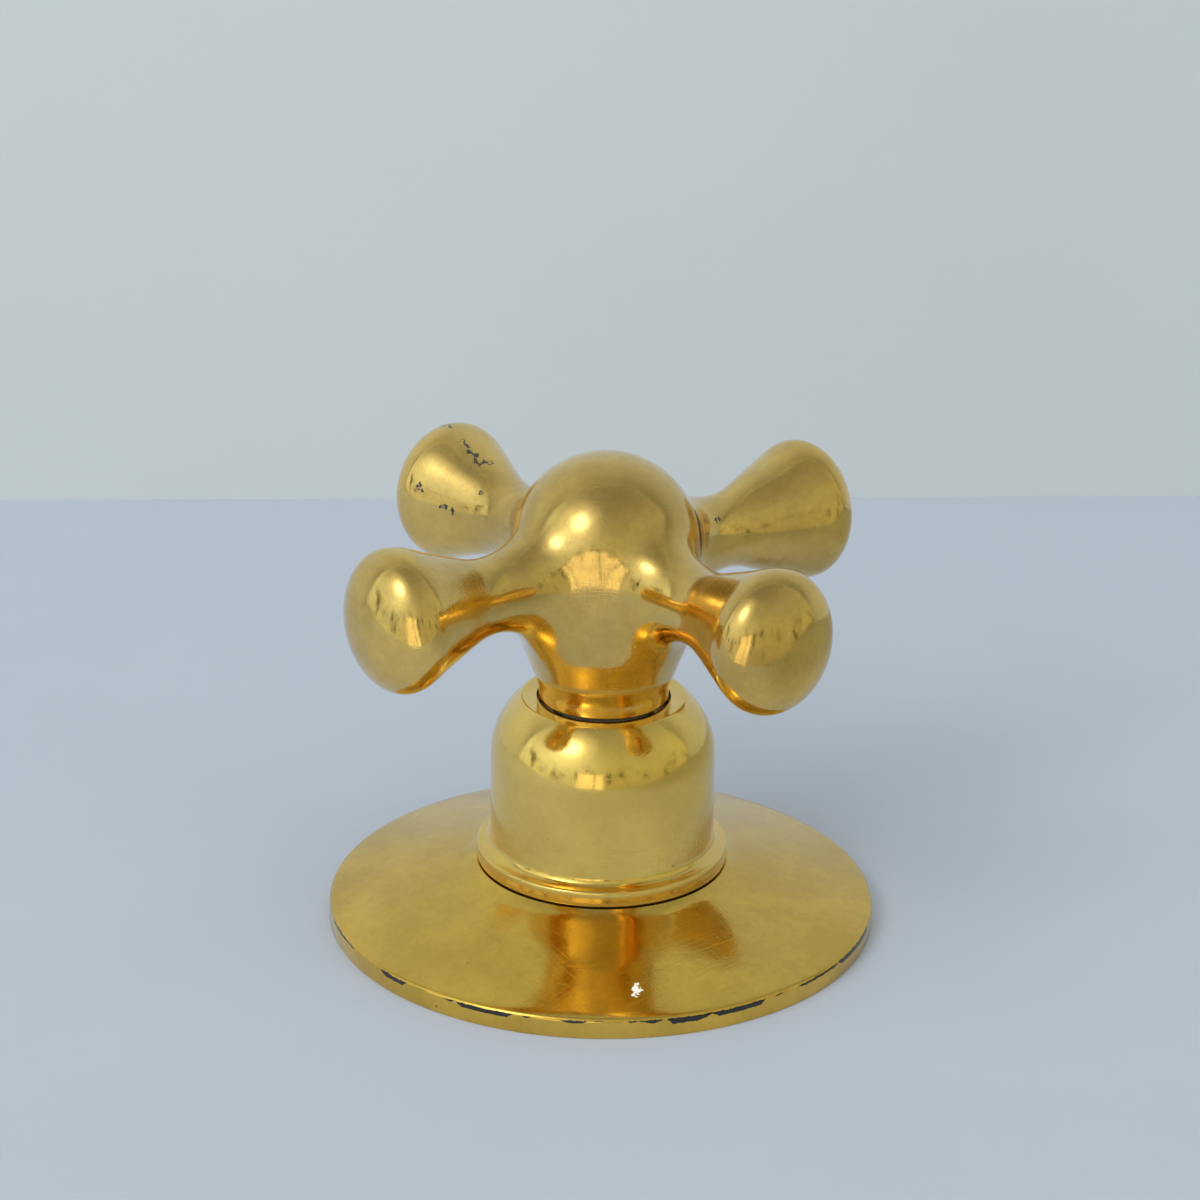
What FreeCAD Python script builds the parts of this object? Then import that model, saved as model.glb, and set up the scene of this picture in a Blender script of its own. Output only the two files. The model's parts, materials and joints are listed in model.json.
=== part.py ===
# Side valve trim: a four-arm cross handle on a bell shroud and a round escutcheon,
# with the quarter-turn ceramic-disc headwork that the bell hides.
# Sizes are in millimetres and +Z is up. The origin is the centre of the escutcheon's
# underside, and the arms of the closed handle point along X and Y.
import FreeCAD, Part
import math
import os

os.makedirs("parts", exist_ok=True)
V = FreeCAD.Vector
CENTRE = V(0, 0, 0)
UP = V(0, 0, 1)

# Fits shared by several pieces
running_gap = 0.1
slip_gap = 0.05
thread_gap = 0.05
overrun = 2.0

# Spindle across: splined end, stem, flange with stop lugs, grooves
spline_r = 4.0
spline_depth = 0.4
spline_teeth = 20
spline_chamfer = 0.5
stem_step = 0.75
stem_r = spline_r + stem_step
flange_reach = 1.45
flange_r = stem_r + flange_reach
tongue_width = 4.8
groove_width = 1.3
groove_depth = 1.0
groove_r = stem_r - groove_depth
clip_groove_depth = 0.6
clip_groove_r = stem_r - clip_groove_depth
clip_reach = 1.25
clip_r = stem_r + clip_reach
lug_half_angle = 12.0
lug_centre_angle = -45.0
turn_range = 90.0
stop_margin = 0.6

# Headwork housing across: chamber, tube, thread, collar, hexagon
disc_r = 7.4
chamber_r = disc_r + 2 * running_gap
lug_r = chamber_r - running_gap - slip_gap
stop_rib_r = flange_r + running_gap + slip_gap
tube_wall = 1.6
tube_r = chamber_r + tube_wall
thread_r = 10.478
thread_chamfer = 0.5
relief_depth = 0.58
relief_r = thread_r - relief_depth
collar_step = 1.52
collar_r = thread_r + collar_step
hex_across = 17.0
hex_chamfer_run = 1.2
hex_chamfer_rise = 0.6
neck_wall = 1.55
neck_r = stem_r + running_gap + neck_wall
window_width = 9.0

# Handle's neck, which clears the spindle's clip
recess_room = 0.9
clip_recess_r = clip_r + recess_room
clip_recess_height = 1.0
handle_neck_wall = 1.35
handle_neck_r = clip_recess_r + handle_neck_wall

# Bell shroud across: screwed on the collar, with a bead, a flare and a flat mouth
bell_room = 0.5
bell_wall = 1.8
bell_inner_r = collar_r + bell_room
bell_r = bell_inner_r + bell_wall
bead_reach = 1.75
bell_bead_r = bell_r + bead_reach
bell_bead_round = 0.4
bell_bead_lip = 0.3
bell_shoulder_r = 10.0
mouth_room = 0.25
mouth_ring_width = 1.9
bell_mouth_r = handle_neck_r + mouth_room
bell_mouth_ring_r = bell_mouth_r + mouth_ring_width

# Escutcheon: a shallow cone with an upright rim and a flat seat under the bell
plate_r = 35.0
plate_rim_height = 2.6
plate_rim_wall = 1.8
plate_rim_round = 0.5
plate_wall = 1.5
plate_seat_margin = 0.25
plate_seat_r = bell_bead_r + plate_seat_margin
plate_seat_height = 8.2
plate_foot_run = 2.0
plate_foot_rise = 0.9
plate_bore_room = 0.4
plate_bore_r = bell_inner_r + plate_bore_room

# Gasket glued inside the rim, and the thin washer under the bell
gasket_width = 2.4
gasket_lift = 0.2
washer_height = 0.3
washer_inset = 0.35

# Bell heights, from the washer up to the mouth
bell_foot = plate_seat_height + washer_height
bell_bead_height = 1.9
bell_flare_height = 1.2
bell_straight_height = 14.0
bell_straight_top = bell_foot + bell_straight_height
bell_mouth_height = 1.8
bell_land_margin = 0.5
bell_land_r = collar_r + thread_gap
shoulder_centre_r = bell_r - bell_shoulder_r
shoulder_inner_r = bell_shoulder_r - bell_wall
bell_top = bell_straight_top + math.sqrt(bell_shoulder_r ** 2 - (bell_mouth_ring_r - shoulder_centre_r) ** 2)
bell_ceiling = bell_top - bell_mouth_height
bell_land_top = bell_straight_top + math.sqrt(shoulder_inner_r ** 2 - (bell_land_r - shoulder_centre_r) ** 2)

# Headwork stack, from the lower seal up to the stem's chamber
seal_foot = 0.5
seal_height = 2.2
seal_inner_share = 0.81
seal_inner_r = disc_r * seal_inner_share
seal_ring_wall = 0.6
seal_ring_recess = 0.4
disc_height = 3.0
disc_gap = 0.02
seat_disc_foot = seal_foot + seal_height
rotor_foot = seat_disc_foot + disc_height + disc_gap
rotor_top = rotor_foot + disc_height
port_shares = (0.35, 0.7)
port_half_angle = 35.0
ear_width = 3.9
ear_inset = 0.9
ear_reach = tube_r - ear_inset
tongue_depth = 1.5
flange_lift = 2.78
flange_height = 2.0
flange_foot = rotor_top + flange_lift
flange_top = flange_foot + flange_height
thrust_height = 0.8
chamber_roof = flange_top + thrust_height + slip_gap
groove_lifts = [1.65, 5.15]

# Housing heights: the collar lies below the bell's shoulder
tube_skirt = 1.3
tube_foot = seat_disc_foot - tube_skirt
collar_room = 0.68
collar_height = 3.5
collar_top = bell_land_top - collar_room
collar_foot = collar_top - collar_height
thread_length = 8.5
thread_foot = collar_foot - thread_length
relief_height = 1.0
hex_height = 3.5
hex_top = collar_top + hex_height
neck_height = 1.0
housing_top = hex_top + neck_height
stop_rib_foot = flange_foot - running_gap
window_margin = 0.18
window_foot = rotor_top + window_margin
window_height = stop_rib_foot - window_margin - window_foot
housing_seal_height = 0.5
housing_seal_inset = 0.15

# Glide washer and clip on top of the housing
glide_foot = housing_top + slip_gap
glide_height = 0.5
glide_inset = 0.1
clip_foot = glide_foot + glide_height
clip_height = 0.7
clip_gap_angle = 50.0

# Cross handle: turned hub with a domed top, and four arms that swell into knobs
handle_gap = 0.38
handle_foot = bell_top + handle_gap
handle_land = 1.8
handle_dome_r = 11.8
dome_lift = 20.05
dome_centre = handle_foot + dome_lift
handle_taper_shares = [(0.647, 0.987), (0.444, 0.949), (0.326, 0.907), (0.208, 0.841), (0.077, 0.763)]
arm_drop = 2.49
arm_height = dome_centre - arm_drop
arm_reach = 37.5
arm_r = 4.3
knob_r = 8.3
knob_height_share = 1.1
arm_neck_share = 0.46
knob_shares = [(0.587, 0.585), (0.693, 0.775), (0.773, 0.915), (0.853, 1.0), (0.927, 0.86), (0.981, 0.48)]
root_fillet_share = 0.64

# Splined bush and the screw that locks the handle on the spindle
bush_wall = 1.25
bush_r = spline_r + bush_wall
bush_foot = handle_foot + clip_recess_height
spline_foot = bush_foot - slip_gap
spline_length = 12.2
spline_top = bush_foot + spline_length
bush_cover = 0.6
bush_top = spline_top + bush_cover
screw_r = 2.5
screw_length = 5.0
screw_lift = 5.5
screw_height = handle_foot + screw_lift
screw_angle = 45.0
screw_socket_across = 2.5
screw_socket_depth = 2.2
screw_point_height = 0.6
screw_clearance = 0.15


def at(radius, height):
    return V(radius, 0, height)


def straight(end):
    return lambda here: (Part.LineSegment(here, end), end)


def arc(middle, end):
    return lambda here: (Part.Arc(here, middle, end), end)


def bend(pole, end):
    def curve(here):
        bezier = Part.BezierCurve()
        bezier.setPoles([here, pole, end])
        return bezier, end
    return curve


def through(points, first_way, last_way):
    def curve(here):
        spline = Part.BSplineCurve()
        spline.interpolate(Points=[here] + points, InitialTangent=first_way, FinalTangent=last_way)
        return spline, points[-1]
    return curve


def outline(start, steps):
    """Closed face from a start point and the steps that lead round to it."""
    edges = []
    here = start
    for step in steps:
        curve, here = step(here)
        edges.append(curve.toShape())
    if here.sub(start).Length > 0:
        edges.append(Part.LineSegment(here, start).toShape())
    return Part.Face(Part.Wire(edges))


def turned(start, steps):
    return outline(start, steps).revolve(CENTRE, UP, 360)


def disc(radius, foot, height):
    return Part.makeCylinder(radius, height, at(0, foot))


def ring(inner_r, outer_r, foot, height):
    return disc(outer_r, foot, height).cut(disc(inner_r, foot, height))


def sector(inner_r, outer_r, foot, height, middle_angle, half_angle):
    piece = Part.makeCylinder(outer_r, height, at(0, foot), UP, 2 * half_angle)
    piece.rotate(CENTRE, UP, middle_angle - half_angle)
    return piece.cut(disc(inner_r, foot, height))


def bar(width, reach, foot, height):
    """Upright slab through the axis, as wide as width along X and reaching both ways along Y."""
    return Part.makeBox(width, 2 * reach, height, V(-width / 2, -reach, foot))


def hexagon(across, foot, height):
    corner_r = across / math.sqrt(3)
    corners = []
    for index in range(7):
        turn = math.radians(60 * index)
        corners.append(V(corner_r * math.cos(turn), corner_r * math.sin(turn), foot))
    return Part.Face(Part.makePolygon(corners)).extrude(V(0, 0, height))


def round_rings(shape, amount, places):
    """Fillet the circular edges that lie at the given radius and height."""
    edges = []
    for edge in shape.Edges:
        box = edge.BoundBox
        for radius, height in places:
            level = max(abs(box.ZMin - height), abs(box.ZMax - height))
            if level + abs(box.XMax - radius) < slip_gap / 2:
                edges.append(edge)
    return shape.makeFillet(amount, edges)


def plate_top(radius):
    """Height of the escutcheon's cone above the deck at a radius."""
    run = plate_r - plate_seat_r - plate_foot_run
    rise = plate_seat_height - plate_foot_rise - plate_rim_height
    return plate_rim_height + (plate_r - radius) * rise / run


def plate_underside(radius):
    return plate_top(radius) - plate_wall


def escutcheon():
    foot_r = plate_seat_r + plate_foot_run
    pole_r = plate_seat_r + plate_foot_run / 2
    inner_rim_r = plate_r - plate_rim_wall
    flat_height = plate_seat_height - plate_wall
    slope = (plate_top(plate_seat_r) - plate_rim_height) / (plate_r - plate_seat_r)
    flat_r = plate_r - (flat_height + plate_wall - plate_rim_height) / slope
    solid = turned(at(plate_r, 0), [
        straight(at(plate_r, plate_rim_height)),
        straight(at(foot_r, plate_top(foot_r))),
        bend(at(pole_r, plate_top(pole_r)), at(plate_seat_r, plate_seat_height)),
        straight(at(plate_bore_r, plate_seat_height)),
        straight(at(plate_bore_r, flat_height)),
        straight(at(flat_r, flat_height)),
        straight(at(inner_rim_r, plate_underside(inner_rim_r))),
        straight(at(inner_rim_r, 0)),
    ])
    return round_rings(solid, plate_rim_round, [(plate_r, plate_rim_height)])


def escutcheon_gasket():
    outer_r = plate_r - plate_rim_wall - slip_gap
    inner_r = outer_r - gasket_width
    return turned(at(outer_r, gasket_lift), [
        straight(at(outer_r, plate_underside(outer_r) - slip_gap)),
        straight(at(inner_r, plate_underside(inner_r) - slip_gap)),
        straight(at(inner_r, gasket_lift)),
    ])


def shroud_washer():
    return ring(plate_bore_r, bell_bead_r - washer_inset, plate_seat_height, washer_height)


def bell_shroud():
    bead_top = bell_foot + bell_bead_height
    flare_top = bead_top + bell_flare_height
    ledge_r = bell_bead_r - bell_bead_lip
    ring_run = bell_mouth_ring_r - shoulder_centre_r
    half_turn = math.asin(ring_run / bell_shoulder_r) / 2 + math.radians(45)
    shoulder_middle = at(
        shoulder_centre_r + bell_shoulder_r * math.sin(half_turn),
        bell_straight_top + bell_shoulder_r * math.cos(half_turn),
    )
    land_foot = collar_foot - bell_land_margin
    ceiling_r = shoulder_centre_r + math.sqrt(shoulder_inner_r ** 2 - (bell_ceiling - bell_straight_top) ** 2)
    middle_height = (bell_ceiling + bell_land_top) / 2
    middle_run = math.sqrt(shoulder_inner_r ** 2 - (middle_height - bell_straight_top) ** 2)
    solid = turned(at(bell_inner_r, bell_foot), [
        straight(at(bell_bead_r, bell_foot)),
        straight(at(bell_bead_r, bead_top)),
        straight(at(ledge_r, bead_top)),
        bend(at(bell_r, bead_top), at(bell_r, flare_top)),
        straight(at(bell_r, bell_straight_top)),
        arc(shoulder_middle, at(bell_mouth_ring_r, bell_top)),
        straight(at(bell_mouth_r, bell_top)),
        straight(at(bell_mouth_r, bell_ceiling)),
        straight(at(ceiling_r, bell_ceiling)),
        arc(at(shoulder_centre_r + middle_run, middle_height), at(bell_land_r, bell_land_top)),
        straight(at(bell_land_r, land_foot)),
        straight(at(bell_inner_r, land_foot)),
    ])
    return round_rings(solid, bell_bead_round, [(bell_bead_r, bell_foot), (bell_bead_r, bead_top)])


def housing():
    bore_r = stem_r + running_gap
    thread_top = collar_foot - relief_height
    solid = turned(at(chamber_r, tube_foot), [
        straight(at(tube_r, tube_foot)),
        straight(at(tube_r, thread_foot)),
        straight(at(thread_r - thread_chamfer, thread_foot)),
        straight(at(thread_r, thread_foot + thread_chamfer)),
        straight(at(thread_r, thread_top)),
        straight(at(relief_r, thread_top)),
        straight(at(relief_r, collar_foot)),
        straight(at(collar_r, collar_foot)),
        straight(at(collar_r, collar_top)),
        straight(at(neck_r, collar_top)),
        straight(at(neck_r, housing_top)),
        straight(at(bore_r, housing_top)),
        straight(at(bore_r, chamber_roof)),
        straight(at(stop_rib_r, chamber_roof)),
        straight(at(stop_rib_r, stop_rib_foot)),
        straight(at(chamber_r, stop_rib_foot)),
    ])
    corner_r = hex_across / math.sqrt(3)
    crown = turned(at(bore_r, collar_top), [
        straight(at(corner_r, collar_top)),
        straight(at(corner_r, hex_top - hex_chamfer_rise)),
        straight(at(corner_r - hex_chamfer_run, hex_top)),
        straight(at(bore_r, hex_top)),
    ])
    solid = solid.fuse(hexagon(hex_across, collar_top, hex_height).common(crown))
    # Two pockets let the spindle's lugs turn a quarter turn between the ribs
    pocket_middle = lug_centre_angle + turn_range / 2
    pocket_half = turn_range / 2 + lug_half_angle + stop_margin
    pocket_height = chamber_roof - stop_rib_foot
    for side in (0, 180):
        pocket = sector(stem_r, chamber_r, stop_rib_foot, pocket_height, pocket_middle + side, pocket_half)
        solid = solid.cut(pocket)
    # Side windows let the water out, and slots at the foot hold the lower disc
    solid = solid.cut(bar(window_width, tube_r + overrun, window_foot, window_height))
    slot_height = seat_disc_foot + disc_height - tube_foot
    slot = bar(ear_width + running_gap, ear_reach + running_gap, tube_foot, slot_height)
    slot.rotate(CENTRE, UP, 90)
    return solid.cut(slot).removeSplitter()


def housing_seal():
    foot = collar_foot - housing_seal_height
    return ring(relief_r + slip_gap, collar_r - housing_seal_inset, foot, housing_seal_height)


def ported_disc(foot, port_angle):
    solid = disc(disc_r, foot, disc_height)
    inner_r = disc_r * port_shares[0]
    outer_r = disc_r * port_shares[1]
    for side in (0, 180):
        solid = solid.cut(sector(inner_r, outer_r, foot, disc_height, port_angle + side, port_half_angle))
    return solid


def seat_disc():
    ears = bar(ear_width, ear_reach, seat_disc_foot, disc_height)
    ears.rotate(CENTRE, UP, 90)
    ears = ears.cut(disc(disc_r * (1 + port_shares[1]) / 2, seat_disc_foot, disc_height))
    return ported_disc(seat_disc_foot, 90).fuse(ears).removeSplitter()


def rotor_disc():
    slot = bar(tongue_width + slip_gap, disc_r, rotor_top - tongue_depth, tongue_depth)
    return ported_disc(rotor_foot, 0).cut(slot)


def seat_seal():
    return ring(seal_inner_r, disc_r, seal_foot, seal_height)


def seal_support_ring():
    outer_r = seal_inner_r - slip_gap
    foot = seal_foot + seal_ring_recess
    return ring(outer_r - seal_ring_wall, outer_r, foot, seat_disc_foot - foot)


def splined_bar(clearance, foot, top):
    """Toothed bar of the spindle's end, grown all round by a clearance."""
    corners = []
    for index in range(2 * spline_teeth + 1):
        turn = math.pi * index / spline_teeth
        radius = spline_r - spline_depth * (index % 2) + clearance
        corners.append(V(radius * math.cos(turn), radius * math.sin(turn), foot))
    return Part.Face(Part.makePolygon(corners)).extrude(V(0, 0, top - foot))


def spindle():
    tongue_foot = rotor_top - tongue_depth + disc_gap
    solid = turned(at(0, flange_foot), [
        straight(at(flange_r, flange_foot)),
        straight(at(flange_r, flange_top)),
        straight(at(stem_r, flange_top)),
        straight(at(stem_r, clip_foot)),
        straight(at(clip_groove_r, clip_foot)),
        straight(at(clip_groove_r, clip_foot + clip_height + slip_gap)),
        straight(at(stem_r, clip_foot + clip_height + slip_gap)),
        straight(at(stem_r, spline_foot)),
        straight(at(0, spline_foot)),
    ])
    for lift in groove_lifts:
        solid = solid.cut(ring(groove_r, stem_r + overrun, chamber_roof + lift, groove_width))
    tip = turned(at(0, spline_foot), [
        straight(at(spline_r, spline_foot)),
        straight(at(spline_r, spline_top - spline_chamfer)),
        straight(at(spline_r - spline_chamfer, spline_top)),
        straight(at(0, spline_top)),
    ])
    solid = solid.fuse(splined_bar(0, spline_foot, spline_top).common(tip))
    tongue = bar(tongue_width, flange_r, tongue_foot, flange_foot - tongue_foot)
    solid = solid.fuse(tongue.common(disc(flange_r, tongue_foot, flange_foot - tongue_foot)))
    for side in (0, 180):
        middle_angle = lug_centre_angle + side
        solid = solid.fuse(sector(stem_r, lug_r, flange_foot, flange_height, middle_angle, lug_half_angle))
    return solid.removeSplitter()


def thrust_ring():
    return ring(stem_r + slip_gap, flange_r, flange_top, thrust_height)


def spindle_o_ring(lift):
    section_r = (stem_r + slip_gap - groove_r) / 2
    return Part.makeTorus(groove_r + section_r, section_r, at(0, chamber_roof + lift + groove_width / 2))


def glide_washer():
    return ring(stem_r + slip_gap, neck_r - glide_inset, glide_foot, glide_height)


def spindle_clip():
    solid = ring(clip_groove_r + slip_gap, clip_r, clip_foot, clip_height)
    gap = sector(clip_groove_r, clip_r + overrun, clip_foot, clip_height, screw_angle, clip_gap_angle / 2)
    return solid.cut(gap)


def locking_screw_space(radius, start, end):
    """Round bar along the locking screw's line, between two distances from the axis."""
    turn = math.radians(screw_angle)
    way = V(math.cos(turn), math.sin(turn), 0)
    return Part.makeCylinder(radius, end - start, at(0, screw_height) + way * start, way)


def spline_bush():
    solid = disc(bush_r, bush_foot, bush_top - bush_foot)
    solid = solid.cut(splined_bar(slip_gap, bush_foot, bush_top))
    return solid.cut(locking_screw_space(screw_r + screw_clearance, 0, bush_r + overrun))


def locking_screw():
    tip = spline_r + slip_gap
    body = Part.makeCylinder(screw_r, screw_length - screw_point_height, V(0, 0, screw_point_height), UP)
    point = Part.makeCone(screw_r - screw_point_height, screw_r, screw_point_height)
    socket = hexagon(screw_socket_across, screw_length - screw_socket_depth, screw_socket_depth)
    solid = body.fuse(point).cut(socket).removeSplitter()
    solid.rotate(CENTRE, V(0, 1, 0), 90)
    solid.rotate(CENTRE, UP, screw_angle)
    turn = math.radians(screw_angle)
    solid.translate(V(tip * math.cos(turn), tip * math.sin(turn), screw_height))
    return solid


def handle_hub():
    dome_top = dome_centre + handle_dome_r
    half = handle_dome_r * math.sqrt(0.5)
    land_top = handle_foot + handle_land
    taper_height = dome_centre - land_top
    taper = []
    for height_share, radius_share in handle_taper_shares:
        taper.append(at(handle_dome_r * radius_share, land_top + taper_height * height_share))
    taper.append(at(handle_neck_r, land_top))
    lean = V(-handle_neck_r / 2, 0, -taper_height / 2)
    return turned(at(0, dome_top), [
        arc(at(half, dome_centre + half), at(handle_dome_r, dome_centre)),
        through(taper, V(0, 0, -taper_height), lean),
        straight(at(handle_neck_r, handle_foot)),
        straight(at(0, handle_foot)),
    ])


def handle_arm():
    """One arm along +X, turned about its own axis and then made a little taller."""
    neck_end = arm_reach * arm_neck_share
    points = []
    for reach_share, radius_share in knob_shares:
        points.append(V(arm_reach * reach_share, 0, knob_r * radius_share))
    points.append(V(arm_reach, 0, 0))
    face = outline(CENTRE, [
        straight(V(0, 0, arm_r)),
        straight(V(neck_end, 0, arm_r)),
        through(points, V(arm_reach, 0, 0), V(0, 0, -arm_reach)),
    ])
    solid = face.revolve(CENTRE, V(1, 0, 0), 360)
    stretch = FreeCAD.Matrix()
    stretch.A33 = knob_height_share
    solid = solid.transformGeometry(stretch)
    solid.translate(at(0, arm_height))
    return solid


def arm_root_edges(solid):
    """Edges where the arms meet the hub: near the arms' height, within the dome's radius, on no seam."""
    edges = []
    for edge in solid.Edges:
        box = edge.BoundBox
        reach = max(abs(box.XMin), abs(box.XMax), abs(box.YMin), abs(box.YMax))
        near = abs(box.Center.z - arm_height) < knob_r
        across = min(box.XLength, box.YLength, box.ZLength)
        if near and reach < handle_dome_r + slip_gap and across > slip_gap:
            edges.append(edge)
    return edges


def cross_handle():
    solid = handle_hub()
    solid.rotate(CENTRE, UP, 45)
    for index in range(4):
        arm = handle_arm()
        arm.rotate(CENTRE, UP, 90 * index)
        solid = solid.fuse(arm)
    solid = solid.makeFillet(root_fillet_share * handle_dome_r, arm_root_edges(solid))
    solid = solid.cut(disc(clip_recess_r, handle_foot, clip_recess_height))
    solid = solid.cut(disc(bush_r + slip_gap, handle_foot, bush_top + slip_gap - handle_foot))
    return solid.cut(locking_screw_space(screw_r + slip_gap, spline_r, handle_dome_r))


pieces = {
    "escutcheon": escutcheon(),
    "escutcheon_gasket": escutcheon_gasket(),
    "shroud_washer": shroud_washer(),
    "bell_shroud": bell_shroud(),
    "headwork_housing": housing(),
    "housing_seal": housing_seal(),
    "seat_disc": seat_disc(),
    "seat_seal": seat_seal(),
    "seal_support_ring": seal_support_ring(),
    "rotor_disc": rotor_disc(),
    "spindle": spindle(),
    "thrust_ring": thrust_ring(),
    "spindle_o_ring_lower": spindle_o_ring(groove_lifts[0]),
    "spindle_o_ring_upper": spindle_o_ring(groove_lifts[1]),
    "glide_washer": glide_washer(),
    "spindle_clip": spindle_clip(),
    "spline_bush": spline_bush(),
    "handle_locking_screw": locking_screw(),
    "cross_handle": cross_handle(),
}

for name, shape in pieces.items():
    print(name, shape.isValid(), len(shape.Solids), round(shape.Volume, 2))
    shape.exportStep("parts/" + name + ".step")
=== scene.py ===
import json
import math

import bmesh
import bpy
import numpy as np
from mathutils import Matrix, Vector


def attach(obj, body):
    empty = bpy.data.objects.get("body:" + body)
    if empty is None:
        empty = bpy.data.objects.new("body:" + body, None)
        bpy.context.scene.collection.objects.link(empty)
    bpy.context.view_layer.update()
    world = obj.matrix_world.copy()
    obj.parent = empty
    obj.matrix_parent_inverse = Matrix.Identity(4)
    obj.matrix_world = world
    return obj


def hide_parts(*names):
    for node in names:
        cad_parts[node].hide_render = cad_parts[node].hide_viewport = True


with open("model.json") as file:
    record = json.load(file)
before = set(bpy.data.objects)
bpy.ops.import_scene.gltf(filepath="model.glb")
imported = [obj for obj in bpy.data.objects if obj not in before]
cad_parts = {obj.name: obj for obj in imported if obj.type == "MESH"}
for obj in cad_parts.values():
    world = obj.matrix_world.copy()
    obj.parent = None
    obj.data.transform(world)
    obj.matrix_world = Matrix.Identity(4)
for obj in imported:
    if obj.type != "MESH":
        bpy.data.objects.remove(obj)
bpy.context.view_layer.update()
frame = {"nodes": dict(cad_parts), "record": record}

# Room: the station stands on a pale table in front of a plain wall.
# Soft daylight falls from above, a window shines from the front left,
# and a sunlit patch lies low in front.
mm = 0.001
to_right, to_left = (0.781, -0.625, 0), (-0.781, 0.625, 0)
to_back, to_viewer = (0.625, 0.781, 0), (-0.625, -0.781, 0)
wall_way, wall_distance = Vector((0.5865, 0.8100, 0)), 150.7 * mm
room_light = 1.25


def add_node(tree, kind, links=(), **settings):
    """A linked node; a setting that the node itself lacks is the value of its input of that name."""
    node = tree.nodes.new(kind)
    for name, value in settings.items():
        if hasattr(node, name):
            setattr(node, name, value)
        else:
            node.inputs[name.replace("_", " ")].default_value = value
    for source, target in links:
        tree.links.new(source, node.inputs[target])
    return node


def new_material(name):
    """A material, its node tree and its surface shader."""
    material = bpy.data.materials.new(name)
    material.use_nodes = True
    tree = material.node_tree
    return material, tree, tree.nodes["Principled BSDF"]


def ramp(tree, source, stops):
    """A colour ramp fed by a value: stops of place and grey or colour."""
    node = tree.nodes.new("ShaderNodeValToRGB")
    elements = node.color_ramp.elements
    while len(elements) < len(stops):
        elements.new(0.5)
    for element, (place, colour) in zip(elements, stops):
        element.position = place
        shade = colour if isinstance(colour, tuple) else (colour, colour, colour)
        element.color = (*shade, 1)
    tree.links.new(source, node.inputs[0])
    return node.outputs["Color"]


def noise(tree, place, scale, detail, roughness):
    """Soft random clouds, scale of them to a metre."""
    return add_node(tree, "ShaderNodeTexNoise", [(place, "Vector")], Scale=scale, Detail=detail, Roughness=roughness)


def fade(tree, value, low, high):
    """0 below low and 1 above high, or the other way round where low is the larger."""
    return add_node(tree, "ShaderNodeMapRange", [(value, 0)], From_Min=low, From_Max=high).outputs[0]


def combined(tree, operation, first, *others):
    """Values taken together, two by two, by a maths operation."""
    for other in others:
        first = add_node(tree, "ShaderNodeMath", [(first, 0), (other, 1)], operation=operation).outputs[0]
    return first


def scaled(tree, value, factor, plus):
    """A value times a factor, plus a number or another value."""
    node = add_node(tree, "ShaderNodeMath", [(value, 0)], operation="MULTIPLY_ADD")
    node.inputs[1].default_value = factor
    if isinstance(plus, float):
        node.inputs[2].default_value = plus
    else:
        tree.links.new(plus, node.inputs[2])
    return node.outputs[0]


def against(tree, vector, operation, other):
    """A vector taken with a constant one; a dot product or a distance gives a value."""
    node = add_node(tree, "ShaderNodeVectorMath", [(vector, 0)], operation=operation)
    node.inputs[1].default_value = other
    return node.outputs["Value" if operation in ("DOT_PRODUCT", "DISTANCE") else "Vector"]


def mixed(tree, mask, under, over):
    """The first colour where the mask is 0, the second, a socket or three numbers, where it is 1."""
    node = add_node(tree, "ShaderNodeMix", [(mask, 0), (under, 6)], data_type="RGBA")
    if isinstance(over, tuple):
        node.inputs[7].default_value = (*over, 1)
    else:
        tree.links.new(over, node.inputs[7])
    return node.outputs[2]


# What the brass mirrors past the table's front edge: a room that is paler and cooler on the left,
# duller and warmer on the right, with some dark furniture, one sunlit patch with a bar, and a window.
room = bpy.data.node_groups.new("room_seen_from_tap", "ShaderNodeTree")
room.interface.new_socket("Vector", in_out="INPUT", socket_type="NodeSocketVector")
room.interface.new_socket("Color", in_out="OUTPUT", socket_type="NodeSocketColor")
way = add_node(room, "NodeGroupInput").outputs["Vector"]
height = add_node(room, "ShaderNodeSeparateXYZ", [(way, "Vector")]).outputs["Z"]
leftward = against(room, way, "DOT_PRODUCT", to_left)
frontward = against(room, way, "DOT_PRODUCT", to_viewer)
cool_side = ramp(room, fade(room, height, -1.0, 1.0), [
    (0.3, (0.50, 0.54, 0.50)), (0.5, (0.60, 0.65, 0.62)), (0.66, (0.72, 0.81, 0.84)),
    (0.78, (0.60, 0.67, 0.67)), (1.0, (0.26, 0.28, 0.27)),
])
warm_side = ramp(room, fade(room, height, -1.0, 1.0), [
    (0.3, (0.36, 0.36, 0.25)), (0.5, (0.42, 0.42, 0.29)), (0.62, (0.44, 0.45, 0.32)),
    (0.78, (0.39, 0.41, 0.34)), (1.0, (0.25, 0.26, 0.24)),
])
view = mixed(room, fade(room, leftward, -0.3, 0.7), warm_side, cool_side)

clutter = noise(room, against(room, way, "MULTIPLY", (3.4, 3.4, 1.6)), 1.6, 3.0, 0.65).outputs["Fac"]
furniture = combined(room, "MULTIPLY", ramp(room, clutter, [(0.36, 1.0), (0.46, 0.0)]), fade(room, height, 0.45, 0.2))
view = mixed(room, furniture, view, (0.13, 0.14, 0.09))

bar_place, bar_half, bar_edge = 0.14, 0.012, 0.022
from_bar = scaled(room, leftward, 1.0, -bar_place)
from_bar = add_node(room, "ShaderNodeMath", [(from_bar, 0)], operation="ABSOLUTE").outputs[0]
patch = combined(room, "MULTIPLY", fade(room, frontward, 0.3, 0.32), fade(room, leftward, -0.02, 0.01),
                 fade(room, leftward, 0.44, 0.40), fade(room, height, 0.20, 0.17),
                 fade(room, from_bar, bar_half, bar_edge))
view = mixed(room, patch, view, (1.02, 0.97, 0.80))

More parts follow.
